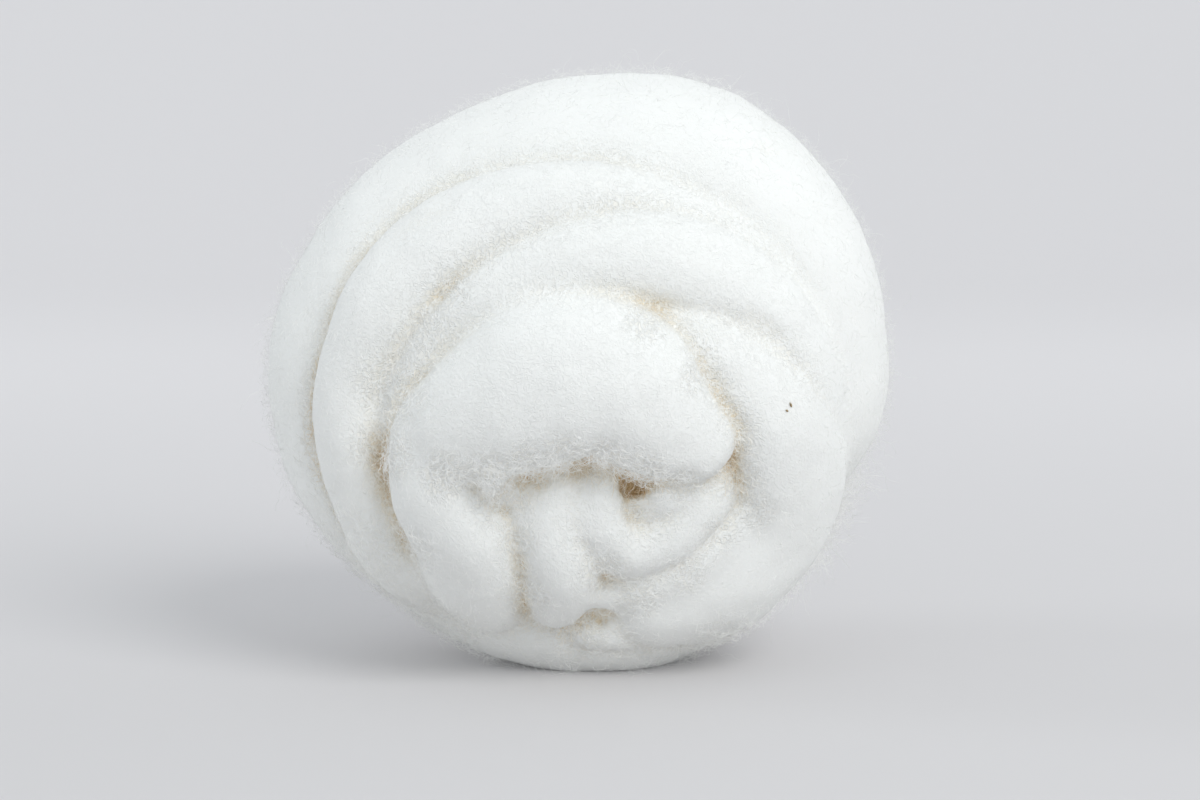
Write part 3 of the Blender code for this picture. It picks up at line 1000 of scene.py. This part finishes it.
# Painted shade between the fine fibres: the gaps between the curl lines are darker, most of all in
# hollows and shaggy spots.
shade = shade + bare * (0.04 + 0.2 * hollow + 0.21 * shaggy) - 0.02
tree.feed(tree.ramp(shade, WOOL_AND_PAINTED_SHADE_TONES), shader, "Base Color")
relief = locks * 0.25 + streaks * 0.1 + down * (0.08 + 0.16 * front + 0.45 * shaggy)
relief = relief - bare * (0.08 + 0.14 * front + 0.8 * shaggy)
bump = tree.node("ShaderNodeBump", {"Height": relief, "Distance": RELIEF, "Strength": 0.7})
tree.feed(bump, shader, "Normal")
skin.materials.clear()
skin.materials.append(wool)
for face in skin.polygons:
    face.use_smooth = True
print("wool material:", len(wool.node_tree.nodes), "nodes")

# %% [markdown]
# ## Single fibres
# Wool looks soft because its surface is a mat of hair-thin fibres. Hair curves could show them in
# a render, but a mesh can be handed on to other programs. So this tree scatters starting points,
# draws a short line from each, and walks its points one after another along the lay of the
# strand, with a little wandering. `Cling` pulls each step back onto the wool, and `Rise` lets
# fibres stand away from it. A fibre is a three-sided spindle that ends in a point.

# %% The tree that lays fibres
# The shares of their usual length between which fibres vary.
SHORTEST, LONGEST = 0.55, 1.45
# How far apart in the noise two fibres wander, by their numbers and by chance.
APART, APART_BY_CHANCE = 7.31, 91
FLOOR_GAP = 0.03 * MM

laying = GeometryTree("lay_fibres")
(
    geometry, per_area, where, stations, length, thickness, lift, dip,
    stray, wave, crimp, crimps, rise, cling, seed, coat,
) = laying.takes(
    Per_Square_Metre=("Float", 1e5), Where=("String", "all_over"), Stations=("Int", 4),
    Length=("Float", 8 * MM), Thickness=("Float", 0.07 * MM), Lift=("Float", 0.2 * MM),
    Dip=("Float", 0.15 * MM), Stray=("Float", 0.3), Wave=("Float", 400), Crimp=("Float", 0),
    Crimps=("Float", 2), Rise=("Float", 0), Cling=("Float", 1), Seed=("Int", 1),
    Material=("Material", None),
)


def whole_number(operation, first, second):
    inputs = {0: first, 1: second}
    return laying.node("FunctionNodeIntegerMath", inputs, operation=operation)


inputs = {"Mesh": geometry, "Density": per_area * laying.attribute(where), "Seed": seed}
roots = laying.geo("DistributePointsOnFaces", inputs)
number = laying.geo("InputIndex")
chance = laying.attribute("chance")
either_way = (laying.random(0, 1, seed + 3, number) > 0.5) * 2 - 1
for name, value in (
    ("fibre", number + 0),
    ("long", laying.random(SHORTEST, LONGEST, seed, number)),
    ("chance", laying.random(0, 1, seed + 7, number)),
    ("way", either_way),
):
    roots = laying.store(roots, name, value)
thread = laying.geo("MeshLine", {"Count": stations, "Offset": (0, 0, 0)})
threads = laying.geo("InstanceOnPoints", {"Points": roots, "Instance": thread})
threads = laying.geo("RealizeInstances", {"Geometry": threads})
station = whole_number("MODULO", number, stations)
last = stations - 1
place = laying.geo("InputPosition")
normal = laying.geo("InputNormal")
stride = length * laying.attribute("long") / last


def wool_below():
    """The lay and the outward direction of the wool nearest to each station."""
    lay = laying.attribute("lay", "FLOAT_VECTOR")
    return laying.nearest(geometry, lay), laying.nearest(geometry, normal)


def pair(x, y):
    return laying.node("ShaderNodeCombineXYZ", {"X": x, "Y": y})


def walk(so_far, step):
    """Moves every station past this step one stride onwards."""
    lay, out = wool_below()
    apart = pair(laying.attribute("fibre") * APART, chance * APART_BY_CHANCE)
    drift = laying.cloud(place * wave + apart).other("Color")
    drift = laying.vector("SUBTRACT", drift, (0.5, 0.5, 0.5))
    heading = lay * laying.attribute("way") + drift * (stray * 4) + out * (rise * chance)
    ahead = place + laying.vector("NORMALIZE", heading) * stride
    inputs = {"Target": geometry, "Source Position": ahead}
    on_wool = laying.geo("Proximity", inputs, target_element="FACES")
    inputs = {"Factor_Float": cling, "A_Vector": ahead, "B_Vector": on_wool}
    settled = laying.node("ShaderNodeMix", inputs, data_type="VECTOR").other("Result_Vector")
    inputs = {"A_INT": station, "B_INT": step}
    beyond = laying.node("FunctionNodeCompare", inputs, data_type="INT", operation="GREATER_THAN")
    inputs = {"Geometry": so_far, "Selection": beyond, "Position": settled}
    return laying.geo("SetPosition", inputs)


threads = laying.repeat(threads, whole_number("SUBTRACT", stations, 1), walk)
share = station / last
arch = 4 * share * (1 - share)
lay, out = wool_below()
side = laying.vector("NORMALIZE", laying.vector("CROSS_PRODUCT", out, lay))
# Chance decides where in its crimp a fibre starts, how high it stands and how thick it is.
curl = (share * crimps + chance * 9) * (2 * math.pi)
swing = laying.math("SINE", curl) * crimp
spring = laying.math("COSINE", curl) * crimp * 0.6
stand = lift * arch * (0.2 + chance * 1.6) - dip * (1 - arch)
lifted = place + out * (stand + spring) + side * swing
above_floor = laying.vector("MAXIMUM", lifted, (-10, -10, FLOOR_GAP))
threads = laying.geo("SetPosition", {"Geometry": threads, "Position": above_floor})
threads = laying.store(threads, "share", share)
girth = thickness * 0.5 * arch**0.5 * (0.7 + 0.6 * chance)
threads = laying.store(threads, "girth", girth)
lines = laying.geo("MeshToCurve", {"Mesh": threads})
ring = laying.geo("CurvePrimitiveCircle", {"Resolution": 3, "Radius": 1})
inputs = {"Curve": lines, "Profile Curve": ring, "Scale": laying.attribute("girth")}
tubes = laying.geo("CurveToMesh", inputs)
tubes = laying.geo("MergeByDistance", {"Geometry": tubes, "Distance": 1e-6})
# Painted shade: fibres in shut-in spots and on seams take the tan of the crease, plus a random
# tone by chance.
tone = laying.attribute("shut_in") * 1.6 + laying.attribute("seam") * 0.3 + chance * 0.25
tone_and_share = pair(laying.clamp(tone), laying.attribute("share"))
tubes = laying.store(tubes, "OFBake", tone_and_share, "FLOAT2", "CORNER")
tubes = laying.geo("RealizeInstances", {"Geometry": tubes})
laying.gives(laying.geo("SetMaterial", {"Geometry": tubes, "Material": coat}))
print("tree:", laying.group.name, "with", len(laying.group.nodes), "nodes")

# %% [markdown]
# ## The fibres' finish
# A single fibre is nearly clear, and a mat of them is white. In a crease they look tan from the
# light bounced there, and that tan is painted into them as shade, as into the wool round them. The
# first half of each fibre's UV is that painted shade, with some random tone, and the second half
# runs from end to end, so one material serves every fibre.

# %% The fibre material
# The fibres' own white at 0, then the tan painted as shade in creases.
FIBRE_AND_PAINTED_SHADE_TONES = [
    (0, (0.98, 0.985, 0.97)),
    (0.35, (0.965, 0.958, 0.92)),
    (0.65, (0.925, 0.875, 0.77)),
    (1, (0.78, 0.62, 0.39)),
]
fibre_coat, tree, shader = finish("wool_fibre", 0)
parts = tree.split(tree.node("ShaderNodeUVMap", uv_map="OFBake"))
along = parts.other("Y")
tone = parts.other("X") + 0.08 - along * (1 - along) * 0.4
tree.feed(tree.ramp(tone, FIBRE_AND_PAINTED_SHADE_TONES), shader, "Base Color")
print("fibre material:", len(fibre_coat.node_tree.nodes), "nodes")

# %% [markdown]
# ## Laying the fibres
# Six kinds are laid. Most lie close along the strand and give the turns their silky streaks, or
# stand between those as down. Curlier ones crowd the mouths of the creases, and the curliest hang
# at the hood's lip. A few fly away from the ball and soften its outline, and one wisp stands
# behind the right lobe. The skin already carries the light that bounces, so the fibres are left
# out of that, and only the curls at the lip throw a shadow.

# %% Lay them
# Each piece of fibres: its name, its seed and what it gives the tree.
DOWN = dict(
    Per_Square_Metre=2.7e5, Length=3.2 * MM, Thickness=0.045 * MM, Dip=0.1 * MM,
    Stray=1.6, Wave=1100.0, Rise=1.6, Cling=0.1,
)
FUZZ = dict(
    Per_Square_Metre=7.2e5, Where="fuzz", Stations=8, Length=4.2 * MM,
    Thickness=0.09 * MM, Lift=0.3 * MM, Dip=0.1 * MM, Stray=1.6, Wave=500.0,
    Crimp=0.2 * MM, Crimps=1.5, Rise=1.0, Cling=0.25,
)
PIECES = [
    ("laid_fibres", 11, dict(
        Per_Square_Metre=1.5e5, Length=3.6 * MM, Thickness=0.06 * MM, Lift=0.12 * MM,
        Dip=0.08 * MM, Stray=1.6, Wave=900.0,
    )),
    ("down_1", 21, DOWN),
    ("down_2", 22, DOWN),
    ("crimped_fuzz_1", 31, FUZZ),
    ("crimped_fuzz_2", 32, FUZZ),
    ("curls_at_the_lip", 41, FUZZ | dict(
        Per_Square_Metre=2.6e6, Where="lip", Length=5.0 * MM, Lift=0.4 * MM, Stray=1.8,
        Wave=400.0, Crimp=0.25 * MM, Crimps=2.0, Rise=1.4, Cling=0.1,
    )),
    ("flyaway_fibres", 47, dict(
        Per_Square_Metre=2.2e4, Stations=9, Length=7.0 * MM, Thickness=0.05 * MM,
        Stray=1.3, Wave=500.0, Crimp=0.15 * MM, Rise=1.3, Cling=0.0,
    )),
    ("wisp", 53, dict(
        Per_Square_Metre=3e6, Where="wisp", Stations=8, Length=9.0 * MM, Rise=1.6,
        Thickness=0.05 * MM, Stray=1.8, Wave=400.0, Crimp=0.2 * MM, Cling=0.0,
    )),
]


def triangles(obj):
    return sum(len(face.vertices) - 2 for face in obj.data.polygons)


def lay_on(surface, name, **values):
    """A piece of fibres on a surface, as a plain mesh."""
    host = placed(name, surface)
    laying.on(host, Material=fibre_coat, **values)
    for face in settle(host).polygons:
        face.use_smooth = True
    host.visible_diffuse = host.visible_glossy = False
    host.visible_shadow = values.get("Where") == "lip"
    print(name, ":", triangles(host), "triangles")
    return host


fibre_pieces = [lay_on(skin, name, Seed=seed, **kind) for name, seed, kind in PIECES]

# %% [markdown]
# ## A bit of the field
# Washed wool keeps a few crumbs of straw that the carding missed. Two lie on the right lobe. Each
# is a small lump stretched along one direction and pressed into the fibres.

# %% Two crumbs of straw
# Each crumb: its (x, y, z) near the skin, its half length and half width, and its lean.
CRUMBS = [((43.4, -43.5, 59.4), 0.55, 0.22, 25), ((42.4, -43.8, 58.2), 0.35, 0.2, 60)]
CRUMB_LIFT, CRUMB_HALF_HEIGHT, GRAIN = 0.12 * MM, 0.22 * MM, 2500
PALE_STRAW, DARK_STRAW = (0.42, 0.32, 0.18, 1), (0.22, 0.16, 0.09, 1)

straw, tree, shader = finish("dry_straw", 0)
grain = tree.cloud(tree.node("ShaderNodeTexCoord").other("Object"), GRAIN, 2)
tone = tree.mix(tree.between(grain, 0.35, 0.65), PALE_STRAW, DARK_STRAW)
tree.feed(tone, shader, "Base Color")
bm = bmesh.new()
for near, half_length, half_width, lean in CRUMBS:
    _, spot, out, _ = wool_body.closest_point_on_mesh(Vector(near) * MM)
    turned = out.to_track_quat("Z", "Y").to_matrix().to_4x4()
    turned = turned @ Matrix.Rotation(math.radians(lean), 4, "Z")
    sizes = Matrix.Diagonal((half_width * MM, half_length * MM, CRUMB_HALF_HEIGHT, 1))
    shape = Matrix.Translation(spot + out * CRUMB_LIFT) @ turned @ sizes
    bmesh.ops.create_icosphere(bm, subdivisions=2, radius=1, matrix=shape)
crumbs = placed("straw_crumbs", mesh_from(bm, "straw_crumbs"))
crumbs.data.materials.append(straw)
print("crumbs:", len(CRUMBS), "with", len(crumbs.data.polygons), "faces")

# %% [markdown]
# ## Riding on the frame
# Everything is one body here, so each piece rides on it. The fused wool stands in for
# the plain solid, which stays in the physics for collision.

bpy.data.objects.remove(rolls)
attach(wool_body, "root")
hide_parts("wool_roving_ball")
for piece in [*fibre_pieces, crumbs]:
    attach(piece, "root")
print("triangles in all:", sum(triangles(o) for o in [wool_body, *fibre_pieces, crumbs]))

# %% [markdown]
# ## Floor and light
# White wool shows its form only by soft shadow, so the light is broad and gentle: a large soft
# light high on the right, a weaker one on the left, and a pale sky all round. The floor sweeps up
# behind, and glows a little at the back and the sides, so that its edges are lost.

# %% The floor, which sweeps up behind the ball
# In metres.
FLOOR_NEAR, FLOOR_FAR, SWEEP_RADIUS, WALL_HEIGHT, HALF_WIDTH = -1.6, 1.2, 0.8, 3, 3.5
FLOOR_DROP = 0.0001
SWEEP_STEPS = 16
FLOOR_COLOUR = (0.635, 0.623, 0.626, 1)
# Each glow: how far back, or how far to the side, it begins and is whole, and its colour.
BACK_GLOW = (-0.3, 0.8), (0.185, 0.185, 0.19, 1)
SIDE_GLOW = (0.9, 2.2), (0.3, 0.305, 0.32, 1)

profile = [(FLOOR_NEAR, 0), (FLOOR_FAR, 0)]
for k in range(1, SWEEP_STEPS + 1):
    turn = math.radians(90 * k / SWEEP_STEPS)
    across, rise = SWEEP_RADIUS * math.sin(turn), SWEEP_RADIUS * (1 - math.cos(turn))
    profile.append((FLOOR_FAR + across, rise))
profile.append((FLOOR_FAR + SWEEP_RADIUS, WALL_HEIGHT))
bm = bmesh.new()
rows = []
for y, z in profile:
    rows.append([bm.verts.new((x, y, z - FLOOR_DROP)) for x in (-HALF_WIDTH, HALF_WIDTH)])
for (a, b), (c, d) in zip(rows, rows[1:]):
    bm.faces.new((a, b, d, c)).smooth = True
floor = placed("floor", mesh_from(bm, "floor"))
paint = bpy.data.materials.new("pale_floor")
paint.use_nodes = True
tree = Tree(paint.node_tree)
on_floor = tree.split(tree.node("ShaderNodeTexCoord").other("Object"))
in_front = tree.math("MINIMUM", on_floor.other("Y"), 0)
away = (on_floor.other("X") ** 2 + in_front**2) ** 0.5
glow = (0, 0, 0, 1)
for how_far, (limits, colour) in ((on_floor.other("Y"), BACK_GLOW), (away, SIDE_GLOW)):
    glow = tree.mix(tree.between(how_far, *limits), glow, colour)
painted = paint.node_tree.nodes["Principled BSDF"]
tree.feed(glow, painted, "Emission Color")
painted.inputs["Emission Strength"].default_value = 1
painted.inputs["Base Color"].default_value = FLOOR_COLOUR
painted.inputs["Roughness"].default_value = 0.9
floor.data.materials.append(paint)
floor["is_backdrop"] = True
print("floor:", len(floor.data.polygons), "faces")

# %% The light
SKY = (0.92, 0.965, 1, 1)
SKY_STRENGTH = 0.72
# Each light: its name, place and size in metres, power in watts, and colour.
LIGHTS = [
    ("window", (0.65, -0.92, 0.92), 0.8, 9.05, (0.985, 0.985, 0.98)),
    ("fill", (-1.6, 0.15, 0.75), 0.7, 3.6, (0.94, 0.98, 1)),
]

world = bpy.data.worlds.new("pale_sky")
scene.world = world
world.use_nodes = True
world.node_tree.nodes["Background"].inputs["Color"].default_value = SKY
world.node_tree.nodes["Background"].inputs["Strength"].default_value = SKY_STRENGTH
for name, place, size, power, colour in LIGHTS:
    lamp = bpy.data.lights.new(name, "AREA")
    lamp.shape, lamp.size, lamp.energy, lamp.color = "DISK", size, power, colour
    held = placed(name, lamp)
    held.location = place
    held.visible_camera = False
    held.rotation_mode = "QUATERNION"
    held.rotation_quaternion = (CENTRE - Vector(place)).to_track_quat("-Z", "Y")
scene.view_settings.view_transform = "Standard"
print("lights:", len(LIGHTS), "and a sky of", SKY_STRENGTH)

# %% Sizes, and finish
box_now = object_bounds()
sizes = {"cad": [list(map(float, corner)) for corner in cad_box], "visual": [list(map(float, corner)) for corner in box_now]}
for name, corners in sizes.items():
    print(name, [[round(v * 1000, 1) for v in corner] for corner in corners])
